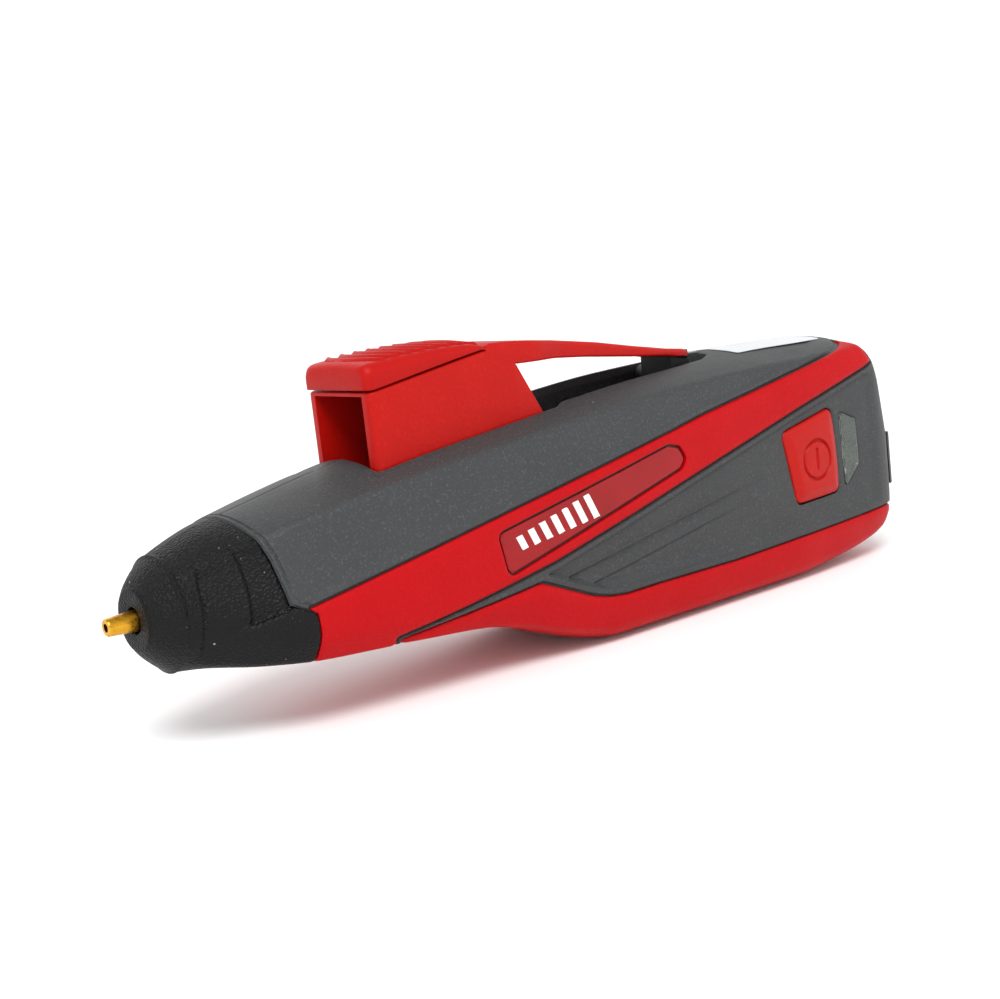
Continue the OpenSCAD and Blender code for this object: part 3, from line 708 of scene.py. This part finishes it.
# Colour, roughness, grain, bump strength, sparkle, patchiness and specular level
PLASTICS = {
    "shell_grey": ((55, 56, 57), 0.5, 2100, 0.6, 0.75, 0.12, 0.3),
    "soft_red": ((172, 0, 8), 0.5, 1900, 0.55, 0.18, 0.12, 0.14),
    "lever_red": ((174, 16, 9), 0.42, 1800, 0.45, 0.2, 0.12, 0.14),
    "cap_red": ((170, 12, 7), 0.46, 1700, 0.4, 0.12, 0.12, 0.14),
    "button_red": ((172, 17, 9), 0.36, 1500, 0.15, 0.1, 0.12, 0.18),
    "badge_red": ((146, 3, 9), 0.14, 2400, 0.05, 0.15, 0.5, 0.2),
    "cover_black": ((44, 45, 46), 0.55, 2400, 0.35, 0.15, 0.12, 0.3),
    "frame_black": ((20, 20, 21), 0.45, 2400, 0.35, 0.12, 0.12, 0.3),
    "nose_black": ((9, 9, 10), 0.5, 2600, 0.4, 0.3, 0.12, 0.2),
    "ceramic": ((232, 228, 215), 0.6, 2400, 0.35, 0.02, 0.2),
    "collar_brown": ((105, 70, 45), 0.45, 2400, 0.35, 0.05, 0.3),
    "sleeve_silicone": ((185, 100, 70), 0.5, 2400, 0.35, 0.03, 0.12),
    "inner_white": ((226, 225, 214), 0.38, 2400, 0.15, 0.02, 0.08),
    "cell_wrap": ((40, 92, 140), 0.2, 2400, 0.06, 0.02, 0.2),
    "board_green": ((14, 88, 40), 0.28, 1400, 0.12, 0.12, 0.12),
    "chip_black": ((28, 28, 30), 0.45, 2400, 0.35, 0.15, 0.12),
    "lead_red": ((170, 22, 20), 0.4, 2400, 0.12, 0.04, 0.12),
    "label_white": ((205, 208, 211), 0.28, 900, 0.08, 0, 0.06),
    "printed_white": ((236, 234, 232), 0.3, 2400, 0.05, 0, 0.05),
}
# Colour, roughness, the stretch of the brushing and the stains' colour
METALS = {
    "brass": ((214, 158, 46), 0.24, (6, 1, 1), linear(120, 72, 14)),
    "chamber_alloy": ((205, 207, 210), 0.3, (8, 1, 1)),
    "spring_steel": ((170, 170, 175), 0.26, (1, 8, 8)),
    "pin_steel": ((215, 215, 218), 0.16, (1, 1, 8)),
    "nickel": ((200, 196, 188), 0.25, (10, 1, 1)),
}
CLEAR = {"window_clear": ((150, 160, 152), 0.04), "led_clear": ((240, 240, 220), 0.12)}
LOOKS = {}
for make, table in ((moulded, PLASTICS), (metal, METALS), (clear, CLEAR)):
    LOOKS.update({slot: make(slot, *values) for slot, values in table.items()})
LOOKS["badge_red"].surface(Coat_Weight=0.2, Coat_Roughness=0.06)
leather = LOOKS["nose_black"].cells(2200, "SMOOTH_F1")
LOOKS["nose_black"].raise_by(leather, 0.9, 0.00035)
DUST = linear(205, 200, 195)
# Slot, how densely the specks lie, their size, colour and strength
for name, *speck in (
        ("shell_grey", 150, 0.035, DUST, 0.8), ("soft_red", 110, 0.03, linear(235, 150, 150), 0.7),
        ("lever_red", 130, 0.04, linear(235, 160, 140), 0.8),
        ("cap_red", 130, 0.04, linear(235, 160, 140), 0.8), ("nose_black", 260, 0.07, DUST, 0.9),
        ("nose_black", 620, 0.1, linear(150, 148, 145), 0.7)):
    specks(LOOKS[name], *speck)

for part in frame["record"]["subparts"]:
    node = frame["nodes"][part["node"]]
    material = LOOKS[part["material_slot"]].material
    if not node.material_slots:
        node.data.materials.append(material)
    for slot in node.material_slots:
        slot.material = material


def finish_piece(piece, slot, *nodes, body="housing"):
    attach(piece, body)
    if nodes:
        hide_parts(*nodes)


def add_piece(name, solid, slot, *nodes, body="housing", sharp=38):
    """A piece with its slot's look, riding on a body, in place of the given CAD nodes."""
    piece = mesh_piece(name, solid, slot, sharp)
    finish_piece(piece, slot, *nodes, body=body)
    return piece


# Shells and overmoulds

sheet = Sheet(body_table())


def near(field, reach):
    return lambda p: np.abs(field(p)) < reach


def side_patch(side):
    """Half of the body, cut along every seam and edge on that side."""
    patch = Patch(sheet)
    patch.refine(lambda p: (nose_field(p) < 0.5) & (p[:, 0] > 6) & (p[:, 0] < 34), 0.85)
    for field, levels in ((step_field, (0, 0.35, 0.7)),
                          (ring_groove_field, (-0.5, -0.25, 0, 0.25, 0.5)),
                          (fold_field, (-0.4, 0.1, 0.6))):
        on_nose = lambda p: (nose_field(p) < 0) & (p[:, 0] > 11) & (np.abs(field(p)) < 1.8)
        patch.cut(field, *levels, zone=on_nose)
    patch.cut(nose_field, -0.5, -0.2, 0, 0.12, 0.35, 0.8, 0.98, 1.22, 1.4, zone=lambda p: p[:, 0] < 40)
    patch.cut(band_field, -1.1, -0.5, -0.15, 0, 0.34, 0.62, 1.5, 1.95, zone=near(band_field, 3))
    patch.cut(grip_field, -1.9, -0.9, -0.3, 0, 0.34, 0.7, 1.7, 2.6, zone=near(grip_field, 4))
    patch.cut(rib_field, -0.7, -0.35, 0.1, 0.55, zone=in_panel)
    patch.cut(groove_field, -0.45, 0, 0.45, zone=in_panel)
    patch.cut(bevel_field, 0, -2.2, zone=in_panel)
    patch.cut(lambda p: np.abs(p[:, 1]), 0.28)
    patch.refine(near(badge_field, 1.2), 0.9)
    patch.cut(badge_field, -0.5, -0.2, 0, PLATE_GAP, 0.9)
    patch.refine(near(mark_field, 0.8), 0.6)
    patch.cut(mark_field, 0, zone=near(mark_field, 2))
    patch.cut(slot_field, 0, 0.6, zone=near(slot_field, 4))
    patch.cut(inlet_field, 0, zone=near(inlet_field, 6))
    if side < 0:
        for field, levels in ((button_field, (0.3, 0.8)), (window_field, (-0.6, -0.25, 0, 0.15, 0.5))):
            patch.refine(near(field, 1.5), 0.8)
            patch.cut(field, *levels, zone=near(field, 4))
        patch.cut(socket_field, 0, zone=near(socket_field, 6))
    else:
        for spot in SCREWS:
            field = spot_field(spot, SCREW_WELL)
            patch.refine(near(field, 1.3), 0.7)
            patch.cut(field, 0, 0.3, zone=near(field, 3))
    return patch


def section_at(x, column):
    """The body's section where the given column of the sheet reaches x."""
    rows = sheet.table
    i = np.searchsorted(rows[FRONT_ROWS:-REAR_ROWS, column, 0], x) + FRONT_ROWS
    before, after = rows[i - 1], rows[i]
    t = (x - before[column, 0]) / (after[column, 0] - before[column, 0])
    return before * (1 - t) + after * t


def surface_y(x, z):
    """Half width of the body where its side is at x and z."""
    section = section_at(x, FLANK)
    return np.interp(-z, -section[:, 2], section[:, 1])


def top_z(x, y):
    """Height of the body's upper side at x and half width y."""
    section = section_at(x, 0)
    last = int(np.argmax(section[:, 1]))
    return float(np.interp(abs(y), section[:last, 1], section[:last, 2]))


def screw_well(spot):
    """The round well of a screw, from just under the surface to the screw head's seat."""
    turns, wall, hole = 40, 3.6, 1.2
    angle = np.linspace(0, 2 * math.pi, turns, endpoint=False)
    rings = ((SCREW_WELL, None), (SCREW_WELL, 9), (hole, 9), (hole, 8), (wall, 8), (wall, None))
    vertices, faces = [], []
    for k, (radius, y) in enumerate(rings):
        for i, (dx, dz) in enumerate(zip(np.cos(angle), np.sin(angle))):
            x, z = spot[0] + radius * dx, spot[1] + radius * dz
            vertices.append((x, surface_y(x, z) - 0.7 if y is None else y, z))
            a, c = k * turns, (k + 1) % len(rings) * turns
            j = (i + 1) % turns
            faces += [(a + i, a + j, c + j), (a + i, c + j, c + i)]
    return np.array(vertices), np.array(faces)


def slot_wall(side):
    """Inner wall of the lever slot, as a closed strip below the rim."""
    path = [(53.4, 0), SLOT_HALF[0]]
    for (x0, y0), (x1, y1) in zip(SLOT_HALF, SLOT_HALF[1:]):
        steps = max(1, int(math.hypot(x1 - x0, y1 - y0) / 2))
        path += [(x0 + (x1 - x0) * k / steps, y0 + (y1 - y0) * k / steps) for k in range(1, steps + 1)]
    depth, wall = 7.5, 1.3
    vertices, faces = [], []
    for x, y in path:
        top = top_z(x, y) - 0.5
        u = x - wall if x < 53.5 else x + wall if x > 150 else x
        v = y + wall if y > 0.1 and x < 151 else y
        vertices += [(x, y, top), (x, y, top - depth), (u, v, top - depth), (u, v, top)]
    for i in range(len(path) - 1):
        for k in range(4):
            a, b = i * 4 + k, i * 4 + (k + 1) % 4
            faces += [(a, a + 4, b + 4), (a, b + 4, b)]
    e = (len(path) - 1) * 4
    faces += [(0, 1, 2), (0, 2, 3), (e, e + 2, e + 1), (e, e + 3, e + 2)]
    vertices, faces = np.array(vertices), np.array(faces)
    if side < 0:
        vertices, faces = vertices * np.array([1, -1, 1]), faces[:, ::-1]
    return vertices, faces


nose_halves = []
for side, word in ((-1, "left"), (1, "right")):
    patch = side_patch(side)
    c = patch.centres()
    nose, band, grip, badge = nose_field(c), band_field(c), grip_field(c), badge_field(c)
    skin = (nose > 0) & (slot_field(c) > 0) & (inlet_field(c) > 0)
    if side < 0:
        skin &= (socket_field(c) > 0) & (button_field(c) >= 0.3) & (window_field(c) >= 0.15)
    else:
        for spot in SCREWS:
            skin &= spot_field(spot, SCREW_WELL)(c) >= 0
    solids = [thick(patch, skin, lambda p: shell_height(p, side), 2, side), slot_wall(side)]
    if side > 0:
        solids += [screw_well(spot) for spot in SCREWS]
    add_piece("shell_" + word, joined(*solids), "shell_grey", "housing_" + word)
    on_band = skin & (band < 0) & (badge > PLATE_GAP) & (nose > 0.35)
    for name, chosen, height, depth, slot, node in (
            ("band_", on_band, band_height, 1.05, "soft_red", "side_band_"),
            ("grip_", skin & (grip < 0), grip_height, 1.05, "soft_red", "belly_grip_"),
            ("plate_", badge < 0, badge_height, 1.02, "badge_red", "badge_")):
        add_piece(name + word, thick(patch, chosen, height, depth, side), slot, node + word)
    mark = thick(patch, mark_field(c) < 0, level(-0.26), 0.36, side)
    finish_piece(mesh_piece("plate_mark_" + word, mark, "printed_white"), "label_white")
    if side < 0:
        lens = thick(patch, window_field(c) < 0, window_height, 2.2, side)
        add_piece("lens", lens, "window_clear", "light_window")
    nose_halves.append(thick(patch, nose < 0, nose_height, 1.3, side))
add_piece("sleeve", joined(*nose_halves), "nose_black", "nose_sleeve", sharp=65)

label_halves = []
for side in (-1, 1):
    patch = Patch(sheet)
    patch.refine(near(label_field, 1), 0.8)
    patch.cut(label_field, 0, zone=near(label_field, 3))
    label_halves.append(thick(patch, label_field(patch.centres()) < 0, level(0), 0.11, side))
add_piece("top_label", joined(*label_halves), "label_white", "rating_label")


# Smaller pieces


def ring_solid(rings):
    """A closed solid through rings of equal length, with its ends filled."""
    count = len(rings[0])
    faces = []
    for k in range(len(rings) - 1):
        for i in range(count):
            a, b = k * count + i, k * count + (i + 1) % count
            faces.append((a, b, b + count, a + count))
    last = (len(rings) - 1) * count
    faces += [tuple(range(count))[::-1], tuple(range(last, last + count))]
    return np.concatenate(rings), faces


LEVER_HALF = ((50, 10.8), (96, 10.8), (104, 8.8), (130, 7.6), (145, 5.2))
LEVER_TOP = ((54, 33.2), (82, 37.4), (84, 38.6), (88, 38.45), (93, 38), (102, 36.8), (114, 34.8),
             (126, 32.3), (136, 30.4), (142.4, 29.5), (144.2, 28.7))
ARM_UNDER = ((82, 34.5), (90, 33.6), (101, 33.2), (112, 32), (124, 30.3), (136, 28.8), (143.6, 27.2),
             (144.2, 27.6))
BOX_TOP = ((54, 33.2), (82, 37.4), (86, 36.4), (90, 33.6), (98.4, 18))
BOX_FRONT, BOX_ROUND = 54, 1.7
BOX_HOLLOW = ((50, 12), (50, 32.1), (80, 35.6), (86, 34.6), (92.6, 22.5), (95.4, 17), (95.4, 12))
LEVER_EYE = (141, 23.5)


def rounded_bar(x, half, low, high, upper, lower):
    """A section across the lever with its upper and lower corners rounded."""
    turn = np.linspace(0, math.pi / 2, 6)
    section = []
    for sign, corner, z, order in ((1, lower, low, -1), (1, upper, high, 1),
                                   (-1, upper, high, -1), (-1, lower, low, 1)):
        corner = min(corner, (high - low) * 0.45, half * 0.45)
        inward = 1 if z == low else -1
        ring = [(sign * (half - corner * (1 - math.cos(t))), z + inward * corner * (1 - math.sin(t)))
                for t in turn]
        section += ring[::order]
    return np.array([(x, y, z) for y, z in section])


def lever_box():
    places = [BOX_FRONT + BOX_ROUND * (1 - math.cos(t)) for t in np.linspace(0, math.pi / 2, 8)]
    rings = []
    for x in places + [62, 72, 82, 86, 90, 93, 96, 98.1]:
        short = 1 - min(1, (x - BOX_FRONT) / BOX_ROUND)
        half = profile(LEVER_HALF, x) - BOX_ROUND * (1 - math.sqrt(max(0, 1 - short ** 2)))
        low = profile(((BOX_FRONT, 15.5), (98.4, 18)), x) - (0.4 if x > 98 else 0)
        rings.append(rounded_bar(x, half, low, profile(BOX_TOP, x), 0.5, 0.2))
    return ring_solid(rings)


def lever_arm():
    places = np.concatenate([[82.3, 83, 84, 86], np.arange(88, 143, 1.5), [143, 143.6, 144, 144.2]])
    rings = []
    for x in places:
        tip = 1 - 0.55 * ramp(x, 142.6, 144.2) ** 2
        low, high = profile(ARM_UNDER, x), profile(LEVER_TOP, x)
        rings.append(rounded_bar(x, profile(LEVER_HALF, x) * tip, low, high, 0.9, 0.5))
    return ring_solid(rings)


def prism(outline, half):
    """A solid between y = -half and half with the given side outline, listed clockwise."""
    count = len(outline)
    points = [(x, y, z) for y in (-half, half) for x, z in outline]
    faces = [tuple(range(count)), tuple(range(count, 2 * count))[::-1]]
    faces += [(i, i + count, (i + 1) % count + count, (i + 1) % count) for i in range(count)]
    return np.array(points, float), faces


def disc(centre, radius, turns=48):
    angles = [k * 2 * math.pi / turns for k in range(turns)]
    return [(centre[0] + radius * math.sin(a), centre[1] + radius * math.cos(a)) for a in angles]


def combined(name, base, *changes):
    """Applies exact unions and differences, and leaves one clean object."""
    piece = mesh_piece(name, base, "lever_red")
    for operation, solid in changes:
        tool = mesh_piece(name + "_tool", solid, "lever_red")
        for side in (piece, tool):
            form = bmesh.new()
            form.from_mesh(side.data)
            bmesh.ops.recalc_face_normals(form, faces=form.faces)
            form.to_mesh(side.data)
            form.free()
        step = piece.modifiers.new(operation, "BOOLEAN")
        step.operation = operation
        step.solver = "EXACT"
        step.object = tool
        bpy.context.view_layer.update()
        view = bpy.context.evaluated_depsgraph_get()
        result = bpy.data.meshes.new_from_object(piece.evaluated_get(view))
        piece.modifiers.clear()
        piece.data = result
        bpy.data.objects.remove(tool)
    return piece


web = prism(((138.4, 30), (143.6, 29.2), (143.9, 23.5), (138.2, 23.5)), 4.8)
foot = prism(((88, 35.6), (95.5, 24), (88, 15.3)), 4.8)
lever = combined("press_lever", lever_box(), ("UNION", lever_arm()),
                 ("DIFFERENCE", prism(BOX_HOLLOW, 8.1)), ("UNION", foot), ("UNION", web),
                 ("UNION", prism(disc(LEVER_EYE, 2.9), 7.2)),
                 ("UNION", prism(disc(LEVER_EYE, 1.5), 11.5)))
lever.data.shade_smooth()
lever.data.set_sharp_from_angle(angle=math.radians(35))
# Painted shade: faces behind x 136 and below z 28.2 (the web, the eye, its pin and the arm tip's
# underside) get the black look, standing in for the shadow in the slot under the arm's tip
if len(lever.data.materials) < 2:
    lever.data.materials.append(LOOKS["frame_black"].material)
for face in lever.data.polygons:
    centre = np.array(face.center) / MM - ORIGIN
    face.material_index = int(centre[0] > 136 and centre[2] < 28.2)
finish_piece(lever, "lever_red", "lever", body="lever")

# x, half width, underside and top of the thumb pad
CAP = ((53.5, 9.3, 34.05, 37.6), (53.55, 9.7, 33.85, 38), (53.75, 10.15, 33.75, 38.45),
       (54.15, 10.55, 33.7, 38.85), (54.8, 10.85, 33.7, 39.1), (55.6, 11, 33.8, 39.25),
       (58, 11.05, 34.15, 39.45), (63, 11.1, 34.95, 39.75), (70, 11.1, 36, 39.95),
       (75, 11.1, 36.75, 39.9), (79, 11.1, 37.3, 39.65), (81, 11.1, 37.55, 39.3),
       (82.2, 11.05, 37.6, 38.9), (82.7, 10.9, 37.8, 38.6))
RIB_COUNT = 8
RIB_FIRST, RIB_GAP, RIB_REACH, RIB_BULGE = 58.6, 3.2, 8.6, 2.6


def pad_relief(x, y):
    """Sunk pad with curved grip ribs on the top of the cap."""
    bow = RIB_BULGE * (1 - (y / RIB_REACH) ** 2)
    along = (x + bow - RIB_FIRST) / RIB_GAP
    number = np.clip(np.round(along), 0, RIB_COUNT - 1)
    across = np.abs(along - number) * RIB_GAP * 0.86
    beyond = np.maximum(0, np.abs(y) - RIB_REACH)
    rib = np.sqrt(np.maximum(0, 1 - (np.hypot(across, beyond) / 0.78) ** 2))
    sunk = ease(9.5 - np.abs(y), 0, 1) * ease(x + bow, 57.2, 57.9) * (1 - ease(x + bow, 81.9, 82.5))
    return -0.5 * sunk + 0.95 * rib


def cap_rings():
    stations = np.array(CAP, float)
    places = np.concatenate([stations[:5, 0], np.arange(55.2, 82.2, 0.3), stations[-2:, 0]])
    rows = np.column_stack([np.interp(places, stations[:, 0], stations[:, k]) for k in (1, 2, 3)])
    turn = np.linspace(0, math.pi / 2, 8)[:-1]
    rings = []
    for x, (half, low, high) in zip(places, rows):
        corner = min(1.9, (high - low) * 0.45)
        side = [(half - 0.08, low + 0.08), (half, low + 0.3)]
        side += [(half - corner * (1 - math.cos(t)), high - corner * (1 - math.sin(t))) for t in turn]
        section = [(-half + 0.3, low), (half - 0.3, low)] + side
        section += [(y, high) for y in np.linspace(half - corner, -(half - corner), 64)]
        section = np.array(section + [(-y, z) for y, z in side[::-1]])
        upper = section[:, 1] > high - corner * 1.001
        z = section[:, 1] + np.where(upper, -0.75 * (section[:, 0] / half) ** 2, 0)
        z = z + np.where(section[:, 1] > high - 1e-6, pad_relief(x, section[:, 0]), 0)
        rings.append(np.column_stack([np.full(len(z), x), section[:, 0], z]))
    return rings


cap = ring_solid(cap_rings())
add_piece("press_cap", cap, "cap_red", "lever_cap", body="lever", sharp=50)


def cover_shift(p):
    """Draws the cover's block in a little, so it lies close to the rounded rear rim."""
    if p[0] < 193.7:
        return p
    return np.array([193.62 + (p[0] - 193.65) * 0.72, -12.6 + (p[1] + 12.85) * 0.92, p[2]])


# The CAD cover with its flat faces merged and its edges rounded
form = bmesh.new()
form.from_mesh(frame["nodes"]["dust_cover"].data)
bmesh.ops.remove_doubles(form, verts=form.verts, dist=3e-6)
bmesh.ops.dissolve_limit(form, angle_limit=math.radians(0.6), verts=form.verts, edges=form.edges)
for vertex in form.verts:
    vertex.co = Vector(metres(cover_shift(np.array(vertex.co) / MM - ORIGIN)))
mesh = bpy.data.meshes.new("port_cover")
form.to_mesh(mesh)
form.free()
mesh.shade_smooth()
mesh.materials.clear()
mesh.materials.append(LOOKS["cover_black"].material)
cover = placed("port_cover", mesh)
bevel = cover.modifiers.new("edges", "BEVEL")
bevel.width = 0.5 * MM
bevel.segments = 3
bevel.limit_method = "ANGLE"
bevel.angle_limit = math.radians(28)
bevel.harden_normals = True
finish_piece(cover, "cover_black", "dust_cover", body="dust_cover")


# Return spring

SPRING_FRONT, SPRING_LENGTH, SPRING_STROKE, SPRING_Z = 64.8, 10.1, 6.1, -7.2


def spring_coil(turns=6, steps=28, sides=10, wire=0.26, radius=1.3):
    """A wire coil whose first and last turns lie flat, as on a ground spring."""
    count = turns * steps
    share = np.linspace(0, 1, count + 1)
    along = np.interp(share, (0, 0.1, 0.9, 1), (0.012, 0.055, 0.945, 0.988))
    angle = share * turns * 2 * math.pi
    line = np.column_stack([SPRING_FRONT + SPRING_LENGTH * along, radius * np.cos(angle),
                            radius * np.sin(angle) + SPRING_Z])
    heading = np.gradient(line, axis=0)
    heading /= np.linalg.norm(heading, axis=1)[:, None]
    outward = np.column_stack([np.zeros(count + 1), np.cos(angle), np.sin(angle)])
    third = np.cross(heading, outward)
    turn = np.linspace(0, 2 * math.pi, sides, endpoint=False)
    return [p + wire * (np.outer(np.cos(turn), o) + np.outer(np.sin(turn), t))
            for p, o, t in zip(line, outward, third)]


spring = add_piece("compression_spring", ring_solid(spring_coil()), "spring_steel", "return_spring")
tuple(metres((SPRING_FRONT, 0, SPRING_Z)))
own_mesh(spring)


# Side button

BUTTON_FLAT = 18.9
SYMBOL_CENTRE = (164.4, 1.3)


def symbol_field(p):
    """Distance to a plain ring with an upright bar in it."""
    dx, dz = (p[:, (0, 2)] - SYMBOL_CENTRE).T
    ring = np.abs(np.hypot(dx, dz) - 4.35) - 0.42
    bar = np.hypot(dx, np.maximum(0, np.abs(dz) - 2.2)) - 0.5
    return np.minimum(ring, bar)


def button_height(p):
    edge = -button_field(p)
    dome = 2.75 - 0.02 * ((p[:, 0] - 164) ** 2 + (p[:, 2] - 1.5) ** 2) * 0.25
    bevel = soft_edge(edge, 0.75, 0.7) - 0.5 * (1 - ease(edge, 0.4, 2.4))
    return dome + bevel - 0.62 * (1 - ease(symbol_field(p), -0.28, 0.08))


x, z = np.meshgrid(np.arange(152, 175.1, 0.7), np.arange(14, -10.1, -0.7), indexing="ij")
flat = Sheet(np.dstack([x, np.full(x.shape, BUTTON_FLAT), z]), mirrored=False)
patch = Patch(flat)
patch.refine(near(symbol_field, 0.9), 0.45, rounds=4)
patch.refine(near(button_field, 1), 0.5)
patch.cut(button_field, 0, -0.12, -0.35, -0.7, -1.4, -2.4)
patch.cut(symbol_field, -0.28, -0.1, 0.08)
solid = thick(patch, button_field(patch.centres()) < 0, button_height, 0.3, -1)
add_piece("side_button", solid, "button_red", "power_button", body="power_button", sharp=60)


# Stage, light and camera


mesh = bpy.data.meshes.new("floor")
form = bmesh.new()
bmesh.ops.create_circle(form, cap_ends=True, segments=96, radius=6)
form.to_mesh(mesh)
form.free()
look = Look("pale_floor", (0.97, 0.97, 0.97, 1), 0.8)
look.blotch(look.noise(3), 0.3, 0.7, 0.15, (0.95, 0.95, 0.95, 1))
mesh.materials.append(look.material)
floor = placed("floor", mesh)
floor.location.z = -0.0002


def lamp(name, kind, power, heading):
    """A lamp that shines along heading."""
    data = bpy.data.lights.new(name, kind)
    data.energy = power
    thing = placed(name, data)
    thing.rotation_euler = Vector(heading).to_track_quat("-Z", "Y").to_euler()
    return thing


def area_light(name, spot, size, power):
    """A rectangular lamp that points at the middle of the tool."""
    light = lamp(name, "AREA", power, Vector((0, 0, 0.03)) - Vector(spot))
    light.location = spot
    light.data.shape = "RECTANGLE"
    light.data.size, light.data.size_y = size


area_light("key", (-0.35, -0.55, 0.75), (0.5, 0.35), 2.6)
area_light("fill", (0.6, -0.7, 0.35), (0.6, 0.6), 0.5)
area_light("back", (0.1, 0.8, 0.6), (0.9, 0.5), 1.5)
lamp("sun", "SUN", 1.5, (0.45, 0.55, -1)).data.angle = math.radians(28)

# The room's light is strongest near the horizon
world = bpy.data.worlds.new("soft_room")
world.use_nodes = True
room = world.node_tree
direction = new_node(room, "TexCoord").outputs["Generated"]
height = new_node(room, "SeparateXYZ", Vector=direction).outputs["Z"]
fade = new_node(room, "MapRange", Value=height, From_Min=0.3, From_Max=0.8, To_Min=1.08, To_Max=0.62)
fade.interpolation_type = "SMOOTHSTEP"
background = room.nodes["Background"]
background.inputs["Color"].default_value = (1, 1, 1, 1)
put(room, background.inputs["Strength"], fade.outputs["Result"])
scene.world = world
scene.view_settings.view_transform = "Standard"

camera_data = bpy.data.cameras.new("photo_camera")
camera_data.sensor_fit = "HORIZONTAL"
camera_data.sensor_width = 36.0
camera_data.lens = 61.2
camera_data.clip_start = 0.01
camera = placed("photo_camera", camera_data)
# The camera's axes and place in metres, fitted to the photograph's viewing angle
RIGHT, UP = (0.77197, -0.62554, -0.11299), (0.19199, 0.05999, 0.97956)
BACK = (-0.60597, -0.77788, 0.16641)
turn = Matrix((RIGHT, UP, BACK)).transposed().to_4x4()
camera.matrix_world = Matrix.Translation((-0.2207, -0.2737, 0.0894)) @ turn
scene.camera = camera
